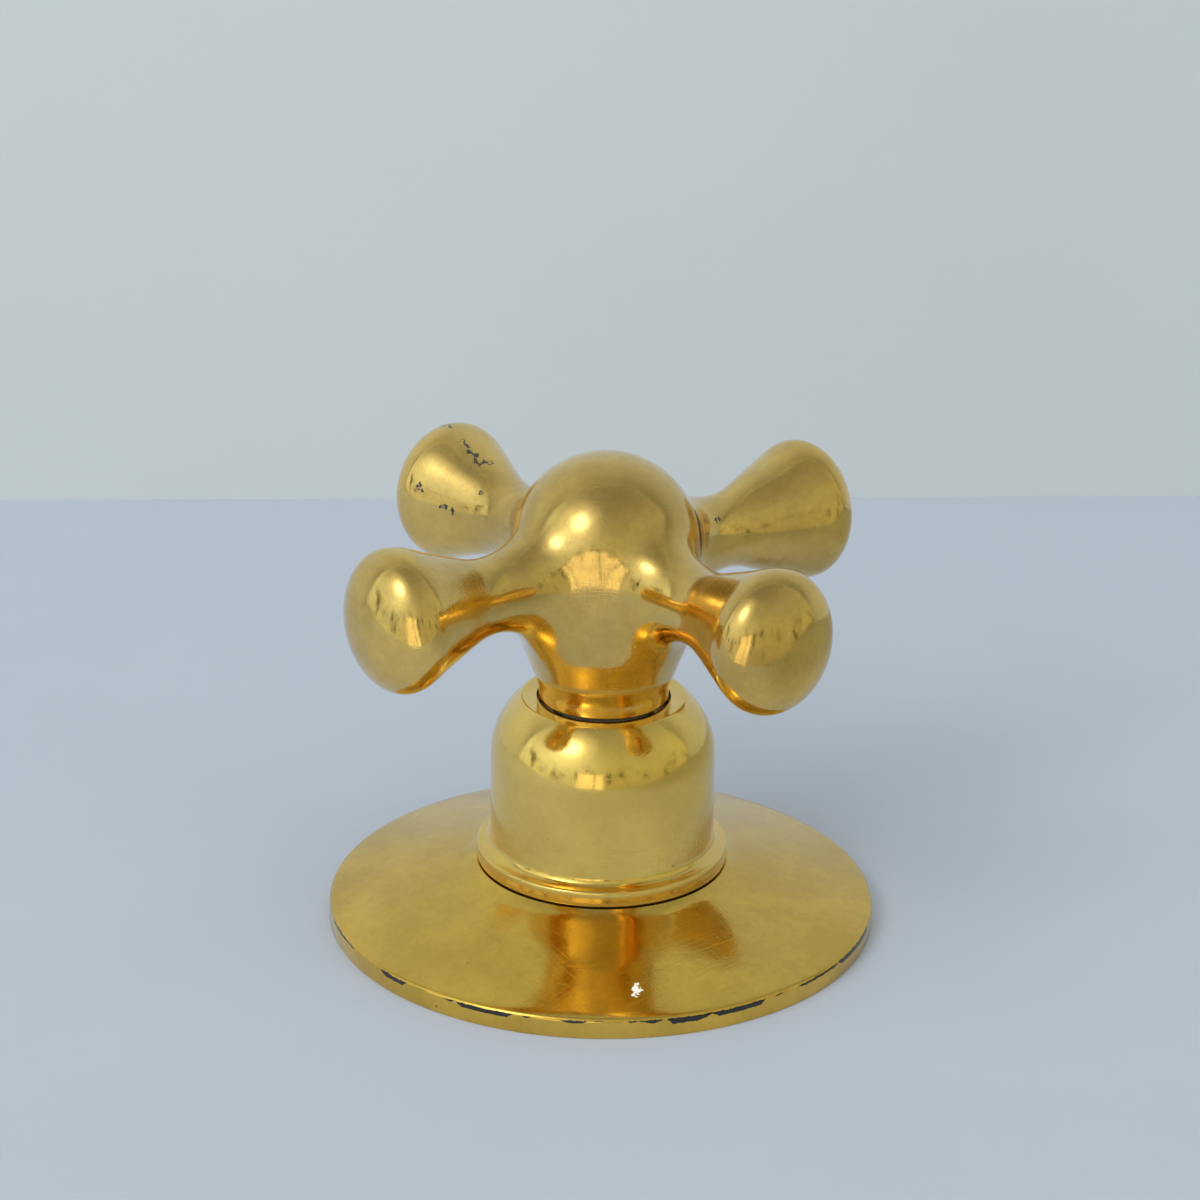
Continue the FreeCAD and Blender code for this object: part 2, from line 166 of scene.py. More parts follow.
to_window = against(room, way, "DOT_PRODUCT", (-0.736, -0.108, 0.669))
glare = ramp(room, to_window, [(0.88, 0.0), (0.95, 0.10), (0.975, 0.22), (0.986, 0.5), (0.993, 1.0)])
view = mixed(room, glare, view, (2.7, 2.85, 2.9))
add_node(room, "NodeGroupOutput", [(view, "Color")])


def room_colour(tree, way):
    """The room's colour in a direction from the station."""
    node = tree.nodes.new("ShaderNodeGroup")
    node.node_tree = room
    tree.links.new(way, node.inputs["Vector"])
    return node.outputs["Color"]


def stage_plane(name, half_size, paint, lay):
    """A flat square of the stage, laid by a matrix."""
    bm = bmesh.new()
    bmesh.ops.create_grid(bm, x_segments=2, y_segments=2, size=half_size)
    bmesh.ops.transform(bm, matrix=lay, verts=bm.verts)
    mesh = bpy.data.meshes.new(name)
    bm.to_mesh(mesh)
    bm.free()
    mesh.materials.append(paint)
    plane = bpy.data.objects.new(name, mesh)
    bpy.context.scene.collection.objects.link(plane)
    return plane


# Mirrored in the brass, the table ends in front of the station; on the right its colour is darkened for mirrored rays
# only, a painted shade in the reflections.
table_edge, edge_softness, mirror_height = -0.130, 0.003, 0.045
table_paint, tree, shader = new_material("pale_table")
place = add_node(tree, "ShaderNodeTexCoord").outputs["Object"]
pale = ramp(tree, noise(tree, place, 9.0, 4.0, 0.6).outputs["Fac"],
            [(0.35, (0.415, 0.455, 0.53)), (0.65, (0.43, 0.47, 0.547))])
mirrored = add_node(tree, "ShaderNodeLightPath").outputs["Is Glossy Ray"]
# Painted shade: the table's right side turns darker, only where the brass mirrors it.
shade_on_right = fade(tree, against(tree, place, "DOT_PRODUCT", to_right), 0.03, 0.11)
shaded = mixed(tree, combined(tree, "MULTIPLY", shade_on_right, mirrored), pale, (0.30, 0.31, 0.27))
tree.links.new(shaded, shader.inputs["Base Color"])
shader.inputs["Roughness"].default_value = 0.6
shader.inputs["Specular IOR Level"].default_value = 0.2
past_edge = fade(tree, against(tree, place, "DOT_PRODUCT", to_back), table_edge, table_edge - edge_softness)
from_tap = against(tree, place, "SUBTRACT", (0, 0, mirror_height))
way = add_node(tree, "ShaderNodeVectorMath", [(from_tap, 0)], operation="NORMALIZE").outputs[0]
glow = add_node(tree, "ShaderNodeEmission", [(room_colour(tree, way), "Color")], Strength=room_light)
both = add_node(tree, "ShaderNodeMixShader", [
    (combined(tree, "MULTIPLY", past_edge, mirrored), 0), (shader.outputs[0], 1), (glow.outputs[0], 2)])
tree.links.new(both.outputs[0], tree.nodes["Material Output"].inputs["Surface"])
stage_plane("table_top", 3.0, table_paint, Matrix())

# The wall shows only its front, so views from behind it stay open. Its colour darkens high up: painted shade.
wall_paint, tree, shader = new_material("pale_wall")
place = add_node(tree, "ShaderNodeTexCoord").outputs["Object"]
pale = ramp(tree, noise(tree, place, 5.0, 3.0, 0.5).outputs["Fac"],
            [(0.35, (0.605, 0.64, 0.67)), (0.65, (0.628, 0.665, 0.692))])
# Painted shade: the wall's colour turns darker towards the top.
shade_high_up = fade(tree, add_node(tree, "ShaderNodeSeparateXYZ", [(place, "Vector")]).outputs["Z"], 0.16, 0.5)
tree.links.new(mixed(tree, shade_high_up, pale, (0.36, 0.38, 0.37)), shader.inputs["Base Color"])
shader.inputs["Roughness"].default_value = 0.5
shader.inputs["Specular IOR Level"].default_value = 0.2
back = add_node(tree, "ShaderNodeNewGeometry").outputs["Backfacing"]
clear = add_node(tree, "ShaderNodeBsdfTransparent")
both = add_node(tree, "ShaderNodeMixShader", [(back, 0), (shader.outputs[0], 1), (clear.outputs[0], 2)])
tree.links.new(both.outputs[0], tree.nodes["Material Output"].inputs["Surface"])
face_front = (-wall_way).to_track_quat("Z", "Y").to_matrix().to_4x4()
stage_plane("back_wall", 1.5, wall_paint, Matrix.Translation(wall_way * wall_distance) @ face_front)

world = bpy.data.worlds.new("room_light")
bpy.context.scene.world = world
world.use_nodes = True
tree = world.node_tree
seen = room_colour(tree, add_node(tree, "ShaderNodeTexCoord").outputs["Generated"])
tree.links.new(seen, tree.nodes["Background"].inputs["Color"])
tree.nodes["Background"].inputs["Strength"].default_value = room_light


def add_panel(name, place, aim, size, power):
    """A soft square lamp, in metres and watts, that the brass doesn't mirror."""
    lamp = bpy.data.lights.new(name, "AREA")
    lamp.shape = "RECTANGLE"
    lamp.size = lamp.size_y = size
    lamp.energy = power
    panel = bpy.data.objects.new(name, lamp)
    panel.location = place
    panel.rotation_euler = (aim - place).to_track_quat("-Z", "Y").to_euler()
    panel.visible_camera = False
    panel.visible_glossy = False
    bpy.context.scene.collection.objects.link(panel)


def around(degrees, lift, distance):
    """A place seen from the tap: degrees to the left of the photographer, lifted by degrees."""
    turn, up = math.radians(degrees), math.radians(lift)
    flat = -wall_way
    side = Vector((flat.x * math.cos(turn) + flat.y * math.sin(turn),
                   flat.y * math.cos(turn) - flat.x * math.sin(turn), 0))
    return side * math.cos(up) * distance + Vector((0, 0, math.sin(up) * distance))


middle = Vector((0, 0, mirror_height))
add_panel("daylight", Vector((0, 0, 1.6)), Vector((0, 0, 0)), 2.4, 28.5)
add_panel("window_light", middle + around(43, 42, 0.9), middle, 0.36, 1.9)

# The camera was fitted to the outlines in the photograph.
camera_data = bpy.data.cameras.new("camera")
camera_data.lens = 120
camera_data.sensor_width = 36
camera_data.clip_start = 0.01
camera = bpy.data.objects.new("camera", camera_data)
camera.location = (-0.290885, -0.362338, 0.232602)
look, roll = Vector((0.57877, 0.72298, -0.37726)), math.radians(0.790)
camera.rotation_euler = (look.to_track_quat("-Z", "Y").to_matrix() @ Matrix.Rotation(roll, 3, "Z")).to_euler()
bpy.context.scene.collection.objects.link(camera)
bpy.context.scene.camera = camera
bpy.context.scene.view_settings.view_transform = "Standard"

# Escutcheon: spun and turned brass plate, a shallow cone with an upright rim.
# It is polished and lacquered; the lacquer is worn, and dirt has bitten
# a broken black line under the rim's edge.
plate_r, rim_height, rim_wall, plate_wall = 35.0, 2.6, 1.8, 1.5
seat_r, seat_height, plate_bore_r = 16.298, 8.2, 12.898
foot_run, foot_rise = 2.0, 0.9
plate_segments = 256


def turned_piece(name, steps, segments, rounds):
    """Spins an outline of (radius, height) points in mm round Z; rounds are (radius, height, size, segments)."""
    bm = bmesh.new()
    verts = [bm.verts.new((r * mm, 0, z * mm)) for r, z in steps]
    for here, there in zip(verts, verts[1:] + verts[:1]):
        bm.edges.new((here, there))
    bmesh.ops.spin(bm, geom=bm.verts[:] + bm.edges[:], cent=(0, 0, 0), axis=(0, 0, 1),
                   angle=2 * math.pi, steps=segments, use_merge=True)
    bmesh.ops.remove_doubles(bm, verts=bm.verts, dist=0.001 * mm)
    bmesh.ops.recalc_face_normals(bm, faces=bm.faces)
    near = 0.01 * mm
    for radius, height, size, pieces in rounds:
        edges = [e for e in bm.edges if all(
            abs(v.co.z - height * mm) < near and abs(v.co.xy.length - radius * mm) < near for v in e.verts)]
        bmesh.ops.bevel(bm, geom=edges, offset=size * mm, offset_type="OFFSET", segments=pieces,
                        profile=0.5, affect="EDGES", material=-1)
    mesh = bpy.data.meshes.new(name)
    bm.to_mesh(mesh)
    bm.free()
    mesh.polygons.foreach_set("use_smooth", [True] * len(mesh.polygons))
    mesh.set_sharp_from_angle(angle=math.radians(30))
    piece = bpy.data.objects.new(name, mesh)
    bpy.context.scene.collection.objects.link(piece)
    return piece


def curve(start, pole, end, count):
    """Points along a bend that leaves start towards pole and arrives at end."""
    points = []
    for index in range(1, count + 1):
        t = index / count
        points.append(tuple((1 - t) ** 2 * a + 2 * t * (1 - t) * b + t * t * c for a, b, c in zip(start, pole, end)))
    return points


def cone_top(radius):
    """Height of the plate's cone at a radius."""
    return rim_height + (plate_r - radius) * (seat_height - foot_rise - rim_height) / (plate_r - seat_r - foot_run)


foot_out = (seat_r + foot_run, cone_top(seat_r + foot_run))
foot_pole = (seat_r + foot_run / 2, cone_top(seat_r + foot_run / 2))
inner_rim_r = plate_r - rim_wall
flat_height = seat_height - plate_wall
plate_outline = [(plate_bore_r, seat_height), (seat_r, seat_height)]
plate_outline += curve((seat_r, seat_height), foot_pole, foot_out, 6)
plate_outline += [(radius, cone_top(radius)) for radius in (22, 26, 30, 33.5)]
plate_outline += [
    (plate_r, rim_height), (plate_r, 0), (inner_rim_r, 0), (inner_rim_r, cone_top(inner_rim_r) - plate_wall),
    (seat_r + 3, flat_height), (plate_bore_r, flat_height),
]
escutcheon = turned_piece("escutcheon_plate", plate_outline, plate_segments, [
    (plate_r, rim_height, 0.5, 5), (plate_r, 0, 0.12, 2), (plate_bore_r, seat_height, 0.15, 2)])

# Shared finish: colour clouds in worn lacquer, hairlines from polishing, fine grain and small pits
wear = bpy.data.node_groups.new("handled_brass", "ShaderNodeTree")
for name, kind in (("Vector", "NodeSocketVector"), ("Bright", "NodeSocketColor"), ("Dull", "NodeSocketColor"),
                   ("Hairlines", "NodeSocketFloat"), ("Pits", "NodeSocketFloat"), ("Lacquer", "NodeSocketFloat")):
    wear.interface.new_socket(name, in_out="INPUT", socket_type=kind)
for name, kind in (("Color", "NodeSocketColor"), ("Roughness", "NodeSocketFloat"),
                   ("Lacquer", "NodeSocketFloat"), ("Height", "NodeSocketFloat")):
    wear.interface.new_socket(name, in_out="OUTPUT", socket_type=kind)
given = add_node(wear, "NodeGroupInput").outputs
place = given["Vector"]
cloud = ramp(wear, noise(wear, place, 85.0, 5.0, 0.62).outputs["Fac"], [(0.36, 0.0), (0.66, 1.0)])
speck = ramp(wear, noise(wear, place, 900.0, 4.0, 0.7).outputs["Fac"], [(0.4, 0.0), (0.75, 1.0)])
tarnish = add_node(wear, "ShaderNodeMath", [(speck, 0), (cloud, 2)], operation="MULTIPLY_ADD", use_clamp=True)
tarnish.inputs[1].default_value = 0.45
brass = mixed(wear, tarnish.outputs[0], given["Bright"], given["Dull"])

strokes = []
for angle, stretch in ((0.3, (6200, 110, 420)), (1.25, (130, 5800, 380)), (2.2, (450, 150, 6600))):
    turned = add_node(wear, "ShaderNodeMapping", [(place, "Vector")])
    turned.inputs["Rotation"].default_value = (angle, 0.5 * angle, angle)
    turned.inputs["Scale"].default_value = stretch
    scratch = noise(wear, turned.outputs[0], 1.0, 2.0, 0.5).outputs["Fac"]
    strokes.append(ramp(wear, scratch, [(0.56, 0.0), (0.78, 1.0)]))
lines = combined(wear, "MULTIPLY", combined(wear, "MAXIMUM", *strokes), given["Hairlines"])

cells = add_node(wear, "ShaderNodeTexVoronoi", [(place, "Vector")], Scale=420.0)
dots = ramp(wear, cells.outputs["Distance"], [(0.05, 1.0), (0.11, 0.0)])
patchy = add_node(wear, "ShaderNodeTexNoise", [(place, "Vector")], Scale=140.0, Detail=1.0)
few = ramp(wear, patchy.outputs["Fac"], [(0.6, 0.0), (0.68, 1.0)])
pits = combined(wear, "MULTIPLY", dots, few, given["Pits"])
pitted = mixed(wear, pits, brass, (0.05, 0.035, 0.012))

rough = scaled(wear, combined(wear, "MULTIPLY", cloud, speck), 0.11, 0.075)
rough = scaled(wear, lines, 0.2, rough)
rough = scaled(wear, pits, 0.5, rough)
grain = noise(wear, place, 3200.0, 2.0, 0.6).outputs["Fac"]
depth = scaled(wear, pits, 3.0, scaled(wear, grain, 1.5, lines))
patches = ramp(wear, noise(wear, place, 55.0, 4.0, 0.7).outputs["Fac"], [(0.38, 0.25), (0.6, 1.0)])
lacquer = combined(wear, "MULTIPLY", patches, given["Lacquer"])
add_node(wear, "NodeGroupOutput", [
    (pitted, "Color"), (rough, "Roughness"), (lacquer, "Lacquer"), (scaled(wear, depth, -1.0, 0.0), "Height")])


def brass_finish(name, bright, dull, hairlines, pits, lacquer):
    """Polished brass with the shared wear; returns its parts for further marks."""
    material, tree, shader = new_material(name)
    place = add_node(tree, "ShaderNodeTexCoord").outputs["Object"]
    worn = tree.nodes.new("ShaderNodeGroup")
    worn.node_tree = wear
    tree.links.new(place, worn.inputs["Vector"])
    worn.inputs["Bright"].default_value = (*bright, 1)
    worn.inputs["Dull"].default_value = (*dull, 1)
    worn.inputs["Hairlines"].default_value = hairlines
    worn.inputs["Pits"].default_value = pits
    worn.inputs["Lacquer"].default_value = lacquer
    shader.inputs["Metallic"].default_value = 1.0
    tree.links.new(worn.outputs["Color"], shader.inputs["Base Color"])
    tree.links.new(worn.outputs["Roughness"], shader.inputs["Roughness"])
    tree.links.new(worn.outputs["Lacquer"], shader.inputs["Coat Weight"])
    shader.inputs["Coat Roughness"].default_value = 0.12
    bump = add_node(tree, "ShaderNodeBump", [(worn.outputs["Height"], "Height")], Strength=0.14, Distance=0.00002)
    tree.links.new(bump.outputs[0], shader.inputs["Normal"])
    return material, tree, shader, place


def marks(tree, place, spots):
    """A mask of ragged spots: places in mm and their radii in mm."""
    wander = 2.2 * mm
    ragged = noise(tree, place, 1300.0, 3.0, 0.7).outputs["Color"]
    warped = add_node(tree, "ShaderNodeVectorMath", [(ragged, 0), (place, 2)], operation="MULTIPLY_ADD")
    warped.inputs[1].default_value = (wander, wander, wander)
    masks = []
    for *middle, size in spots:
        centre = Vector(middle) * mm + Vector((wander, wander, wander)) / 2
        apart = against(tree, warped.outputs[0], "DISTANCE", centre)
        masks.append(fade(tree, apart, size * mm, 0.75 * size * mm))
    return combined(tree, "MAXIMUM", *masks)


def stain_or_glint_over(tree, mask, shader, colour):
    """A flat non-metal colour where the mask is 1, in place of the brass; it serves stains and a painted glint."""
    under = shader.inputs["Base Color"].links[0].from_socket
    tree.links.new(mixed(tree, mask, under, colour), shader.inputs["Base Color"])
    so_far = [link.from_socket for link in shader.inputs["Metallic"].links]
    metal = combined(tree, "MULTIPLY", scaled(tree, mask, -1.0, 1.0), *so_far)
    tree.links.new(metal, shader.inputs["Metallic"])


plate_brass, tree, shader, place = brass_finish(
    "escutcheon_brass", (0.89, 0.565, 0.095), (0.70, 0.44, 0.08), 0.8, 0.5, 0.3)
# A small pale diamond on the plate's front: a painted glint, a highlight painted into the colour as a pale spot.
painted_glint = marks(tree, place, [(-14.4, -25.2, 4.3, 0.5), (-15.0, -25.8, 4.05, 0.72), (-15.6, -26.4, 3.85, 0.5)])
stain_or_glint_over(tree, painted_glint, shader, (0.88, 0.86, 0.82))

# Black dirt under the rim's edge: dashes from and to a number of degrees round from the front, with their depths
dashes = [
    (-76, -65, 0.35), (-64, -62.5, 0.5), (-50.5, -43.5, 0.8), (-33, -31, 0.4), (-29.8, -18, 0.75),
    (-15.3, -14, 0.35), (-7.6, -3, 0.45), (-1.2, 1.0, 0.2), (5.5, 7.6, 0.35), (9.2, 12, 0.7), (14, 22, 1.0),
    (23.5, 35, 0.85), (38, 40, 0.3), (45, 58, 0.45), (59, 76, 0.8), (101, 112, 0.5), (140, 152, 0.7),
    (171, 174, 0.5), (196, 215, 0.6), (248, 253, 0.6),
]
dirt_top, raggedness, full_depth, edge_fade = 2.62 * mm, 0.45 * mm, 0.78 * mm, 0.04 * mm
end_taper = 1.2
front_way = math.degrees(math.atan2(to_viewer[1], to_viewer[0]))
depths = []
for vert in escutcheon.data.vertices:
    degrees = (math.degrees(math.atan2(vert.co.y, vert.co.x)) - front_way + 90) % 360 - 90
    depth = 0.0
    for begin, end, amount in dashes:
        inside = min(degrees - begin, end - degrees)
        depth = max(depth, amount * min(max(inside / end_taper + 0.5, 0), 1))
    depths.append(depth)
grime = escutcheon.data.attributes.new("grime", "FLOAT", "POINT")
grime.data.foreach_set("value", depths)
amount = add_node(tree, "ShaderNodeAttribute", attribute_name="grime").outputs["Fac"]
level = add_node(tree, "ShaderNodeSeparateXYZ", [(place, "Vector")]).outputs["Z"]
level = scaled(tree, noise(tree, place, 1500.0, 4.0, 0.7).outputs["Fac"], raggedness, level)
below = scaled(tree, level, -1.0, dirt_top)
too_deep = combined(tree, "SUBTRACT", below, scaled(tree, amount, full_depth, 0.0))
flat = against(tree, place, "MULTIPLY", (1, 1, 0))
radius = add_node(tree, "ShaderNodeVectorMath", [(flat, 0)], operation="LENGTH").outputs["Value"]
dirt = combined(tree, "MULTIPLY", fade(tree, below, 0.0, edge_fade), fade(tree, too_deep, 0.0, -edge_fade),
                fade(tree, amount, 0.05, 0.15), fade(tree, radius, (plate_r - 0.5) * mm, (plate_r - 0.4) * mm))
stain_or_glint_over(tree, dirt, shader, (0.012, 0.010, 0.008))
escutcheon.data.materials.append(plate_brass)
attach(escutcheon, "station")
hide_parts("escutcheon")

# Bell shroud: turned from brass bar, with a bead at its foot and a flat mouth
# where the handle's neck enters. It screws down on the headwork's collar.
bell_r, bell_inner_r, bead_r = 14.298, 12.498, 16.048
bell_foot, bead_top, flare_top, straight_top = 8.38, 10.4, 11.6, 22.5
shoulder_r, mouth_ring_r, mouth_r, mouth_wall = 10.0, 10.4, 8.5, 1.8
thread_r, thread_foot, thread_top = 12.05, 20.5, 25.17
bell_segments, shoulder_steps = 224, 24
centre_r = bell_r - shoulder_r
bell_top = straight_top + math.sqrt(shoulder_r ** 2 - (mouth_ring_r - centre_r) ** 2)
shoulder_turn = math.asin((bell_top - straight_top) / shoulder_r)
bell_outline = [(bell_inner_r, bell_foot), (bead_r, bell_foot), (bead_r, bead_top), (bead_r - 0.3, bead_top)]
bell_outline += curve((bead_r - 0.3, bead_top), (bell_r, bead_top), (bell_r, flare_top), 6)
bell_outline += [(bell_r, 15.0), (bell_r, 18.5), (bell_r, 21.0)]
for index in range(shoulder_steps + 1):
    turn = shoulder_turn * index / shoulder_steps
    bell_outline.append((centre_r + shoulder_r * math.cos(turn), straight_top + shoulder_r * math.sin(turn)))
bell_outline += [
    (mouth_r, bell_top), (mouth_r, bell_top - mouth_wall), (10.0, bell_top - mouth_wall),
    (thread_r, thread_top), (thread_r, thread_foot), (bell_inner_r, thread_foot),
]
bell = turned_piece("bell", bell_outline, bell_segments, [
    (bead_r, bell_foot, 0.1, 2), (bead_r, bead_top, 0.4, 5),
    (mouth_ring_r, bell_top, 0.12, 3), (mouth_r, bell_top, 0.05, 2)])
bell_brass, *_ = brass_finish("bell_brass", (0.99, 0.67, 0.15), (0.84, 0.56, 0.13), 1.0, 0.35, 0.7)
bell.data.materials.append(bell_brass)
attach(bell, "station")
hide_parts("bell_shroud")

# Cross handle: cast and polished in one piece, a domed hub with four arms
# that swell into knobs. All the corners are blended by hand polishing.
# Stations are (height over the foot, radius) and (reach, radius), in mm.
handle_foot, foot_drop = bell_top + 0.38, 0.2
dome_r, dome_height = 11.8, handle_foot + 20.05
arm_height, arm_reach, arm_half = dome_height - 2.49, 37.5, 4.4
hub_stations = [
    (-4.0, 8.25), (0.0, 8.25), (1.8, 8.44), (3.2, 9.0), (5.6, 9.92), (7.75, 10.7), (9.9, 11.2), (13.6, 11.65),
    (17.0, 11.78), (20.05, 11.8),
]
arm_stations = [
    (-8.0, 4.3), (0.0, 4.3), (8.0, 4.3), (14.0, 4.3), (17.5, 4.32), (22.0, 4.9), (26.0, 6.42), (29.0, 7.55),
    (32.0, 8.3), (34.76, 7.16), (36.8, 3.98),
]
knob_begins, knob_run, knob_taller = 10.0, 20.0, 0.1
blend_sizes = (4.6, 6.4, 8.2, 10.0)


def smooth_line(places, values):
    """Natural cubic spline through the values; returns functions for height and slope."""
    x, y = np.array(places, float), np.array(values, float)
    gap = np.diff(x)
    size = len(x)
    table = np.zeros((size, size))
    right = np.zeros(size)
    table[0, 0] = table[-1, -1] = 1
    for i in range(1, size - 1):
        table[i, i - 1:i + 2] = gap[i - 1], 2 * (gap[i - 1] + gap[i]), gap[i]
        right[i] = 6 * ((y[i + 1] - y[i]) / gap[i] - (y[i] - y[i - 1]) / gap[i - 1])
    bend = np.linalg.solve(table, right)

    def parts(at):
        at = np.clip(at, x[0], x[-1])
        i = np.clip(np.searchsorted(x, at) - 1, 0, size - 2)
        return i, x[i + 1] - at, at - x[i], gap[i]

    def value(at):
        i, left, done, h = parts(at)
        cubic = (bend[i] * left ** 3 + bend[i + 1] * done ** 3) / (6 * h)
        return cubic + (y[i] / h - bend[i] * h / 6) * left + (y[i + 1] / h - bend[i + 1] * h / 6) * done

    def slope(at):
        i, left, done, h = parts(at)
        square = (bend[i + 1] * done ** 2 - bend[i] * left ** 2) / (2 * h)
        return square + (y[i + 1] - y[i]) / h - h * (bend[i + 1] - bend[i]) / 6

    return value, slope


# Squared radii run smoothly through zero at the dome's top and the knobs' ends
dome_rises = (3, 6, 9, dome_r, 14)
hub_places = [z for z, r in hub_stations] + [dome_height - handle_foot + rise for rise in dome_rises]
hub_values = [r * r for z, r in hub_stations] + [dome_r ** 2 - rise ** 2 for rise in dome_rises]
hub_square, hub_slope = smooth_line(hub_places, hub_values)
arm_places = [s for s, r in arm_stations] + [arm_reach, arm_reach + 1.5]
arm_values = [r * r for s, r in arm_stations] + [0.0, -42.0]
arm_square, arm_slope = smooth_line(arm_places, arm_values)
tiny = 1e-6


def hub_gap(points):
    """About the distance in mm from the turned hub's surface."""
    square = points[:, 0] ** 2 + points[:, 1] ** 2
    rise = points[:, 2] - handle_foot
    return (square - hub_square(rise)) / np.sqrt(4 * square + hub_slope(rise) ** 2 + tiny)


def arm_gap(points, turn):
    """About the distance from an arm, whose knob is a tenth taller than it is wide."""
    along = points[:, 0] * math.cos(turn) + points[:, 1] * math.sin(turn)
    aside = points[:, 1] * math.cos(turn) - points[:, 0] * math.sin(turn)
    share = np.clip((along - knob_begins) / knob_run, 0, 1)
    tall = 1 + knob_taller * share ** 2 * (3 - 2 * share)
    square = aside ** 2 + ((points[:, 2] - arm_height) / tall) ** 2 + np.minimum(along, 0) ** 2
    return (square - arm_square(along)) / np.sqrt(4 * square + arm_slope(along) ** 2 + tiny)


def outward(gap_of, points):
    """The gap at each point, its slope, and the unit normal that the slope gives."""
    step = 0.02
    gap = gap_of(points)
    slope = np.stack([(gap_of(points + step * axis) - gap) / step for axis in np.eye(3)], axis=1)
    return gap, slope, slope / np.maximum(np.linalg.norm(slope, axis=1), tiny)[:, None]


def handle_gap(points):
    """Hub and arms, joined as if balls of the blend's sizes had rolled along each corner, one finer than the next."""
    hub, _, hub_normal = outward(hub_gap, points)
    joined = np.tile(hub, (len(blend_sizes), 1))
    for index in range(4):
        arm, _, arm_normal = outward(lambda places: arm_gap(places, math.radians(90 * index)), points)
        meet = np.clip((hub_normal * arm_normal).sum(axis=1), -0.96, 0.96)
        for row, size in enumerate(blend_sizes):
            to_hub, to_arm = size - hub, size - arm
            hub_part = (to_hub - meet * to_arm) / (1 - meet ** 2)
            arm_part = (to_arm - meet * to_hub) / (1 - meet ** 2)
            ball = size - np.sqrt(np.maximum(hub_part * to_hub + arm_part * to_arm, 1e-9))
            nearest = np.where(arm_part <= 0, hub, np.where(hub_part <= 0, arm, ball))
            joined[row] = np.minimum(joined[row], nearest)
    return joined.mean(axis=0)


def grow_ring(bm, edges, radius, height):
    """Extrudes a round border to a new radius and height, in the mesh's own unit; returns the new border."""
    grown = bmesh.ops.extrude_edge_only(bm, edges=edges)["geom"]
    verts = [g for g in grown if isinstance(g, bmesh.types.BMVert)]
    for vert in verts:
        vert.co = Vector((*(vert.co.xy.normalized() * radius), height))
    return [g for g in grown if isinstance(g, bmesh.types.BMEdge) and all(v in verts for v in g.verts)]


# A coarse cage in mm: a grid bent into the dome's top, rings down to the foot, and arms pulled out of its sides
cage = bmesh.new()
top_level = 29.6
hub_levels = [27.4, 24.9, arm_height - handle_foot + arm_half, arm_height - handle_foot,
              arm_height - handle_foot - arm_half, 9.8, 7.2, 4.8, 2.6, 1.0, 0.0]
arm_steps = [(14.0, 4.6), (17.5, 4.5), (21.0, 4.9), (24.5, 6.1), (28.0, 7.6), (31.0, 8.7), (33.8, 8.6), (36.2, 5.6)]
knob_tip = 1.3
bmesh.ops.create_grid(cage, x_segments=4, y_segments=4, size=1.0)
top_r = math.sqrt(float(hub_square(top_level)))
for vert in cage.verts:
    u, v, flat = vert.co.x, vert.co.y, max(abs(vert.co.x), abs(vert.co.y)) * top_r
    if abs(u) >= abs(v) and flat:
        turn = math.radians(45) * v / u
        vert.co.xy = math.copysign(flat, u) * math.cos(turn), math.copysign(flat, u) * math.sin(turn)
    elif flat:
        turn = math.radians(45) * u / v
        vert.co.xy = math.copysign(flat, v) * math.sin(turn), math.copysign(flat, v) * math.cos(turn)
    vert.co.z = dome_height + math.sqrt(dome_r ** 2 - flat ** 2)
edges = [e for e in cage.edges if e.is_boundary]
for level in hub_levels:
    edges = grow_ring(cage, edges, math.sqrt(float(hub_square(level))), handle_foot + level)
bmesh.ops.recalc_face_normals(cage, faces=cage.faces)
for index in range(4):
    turn = math.radians(90 * index)
    out = Vector((math.cos(turn), math.sin(turn), 0))
    side = Vector((-math.sin(turn), math.cos(turn), 0))
    faces = []
    for face in cage.faces:
        middle = face.calc_center_median()
        if abs(middle.z - arm_height) < arm_half and middle.dot(out) > 0 and abs(middle.dot(side)) < arm_half:
            faces.append(face)
    for reach, radius in arm_steps:
        grown = bmesh.ops.extrude_face_region(cage, geom=faces)["geom"]
        bmesh.ops.delete(cage, geom=[f for f in faces if f.is_valid], context="FACES")
        faces = [g for g in grown if isinstance(g, bmesh.types.BMFace)]
        for vert in (g for g in grown if isinstance(g, bmesh.types.BMVert)):
            across, up = vert.co.dot(side), vert.co.z - arm_height
            place = Vector([0 if abs(part) < 0.5 else math.copysign(1, part) for part in (across, up)])
            tip = knob_tip if reach == arm_steps[-1][0] and place.length == 0 else 0
            if place.length:
                place.normalize()
            vert.co = out * (reach + tip) + side * place.x * radius + Vector((0, 0, arm_height + place.y * radius))
bmesh.ops.recalc_face_normals(cage, faces=cage.faces)
mesh = bpy.data.meshes.new("handle_cage")
cage.to_mesh(mesh)
cage.free()
cage_piece = bpy.data.objects.new("handle_cage", mesh)
bpy.context.scene.collection.objects.link(cage_piece)
rounding = cage_piece.modifiers.new("rounding", "SUBSURF")
rounding.levels = rounding.render_levels = 3
round_mesh = bpy.data.meshes.new_from_object(cage_piece.evaluated_get(bpy.context.evaluated_depsgraph_get()))
bpy.data.objects.remove(cage_piece)

# Each point of the rounded cage slides on to the blended form
slides = 9
points = np.zeros(len(round_mesh.vertices) * 3)
round_mesh.vertices.foreach_get("co", points)
points = points.reshape(-1, 3)
at_foot = points[:, 2] < handle_foot + 0.01
for _ in range(slides):
    gap, slope, _ = outward(handle_gap, points)
    points -= (gap / np.maximum((slope ** 2).sum(axis=1), 0.25))[:, None] * slope
points[at_foot, 2] = handle_foot - foot_drop
round_mesh.vertices.foreach_set("co", (points * mm).ravel())

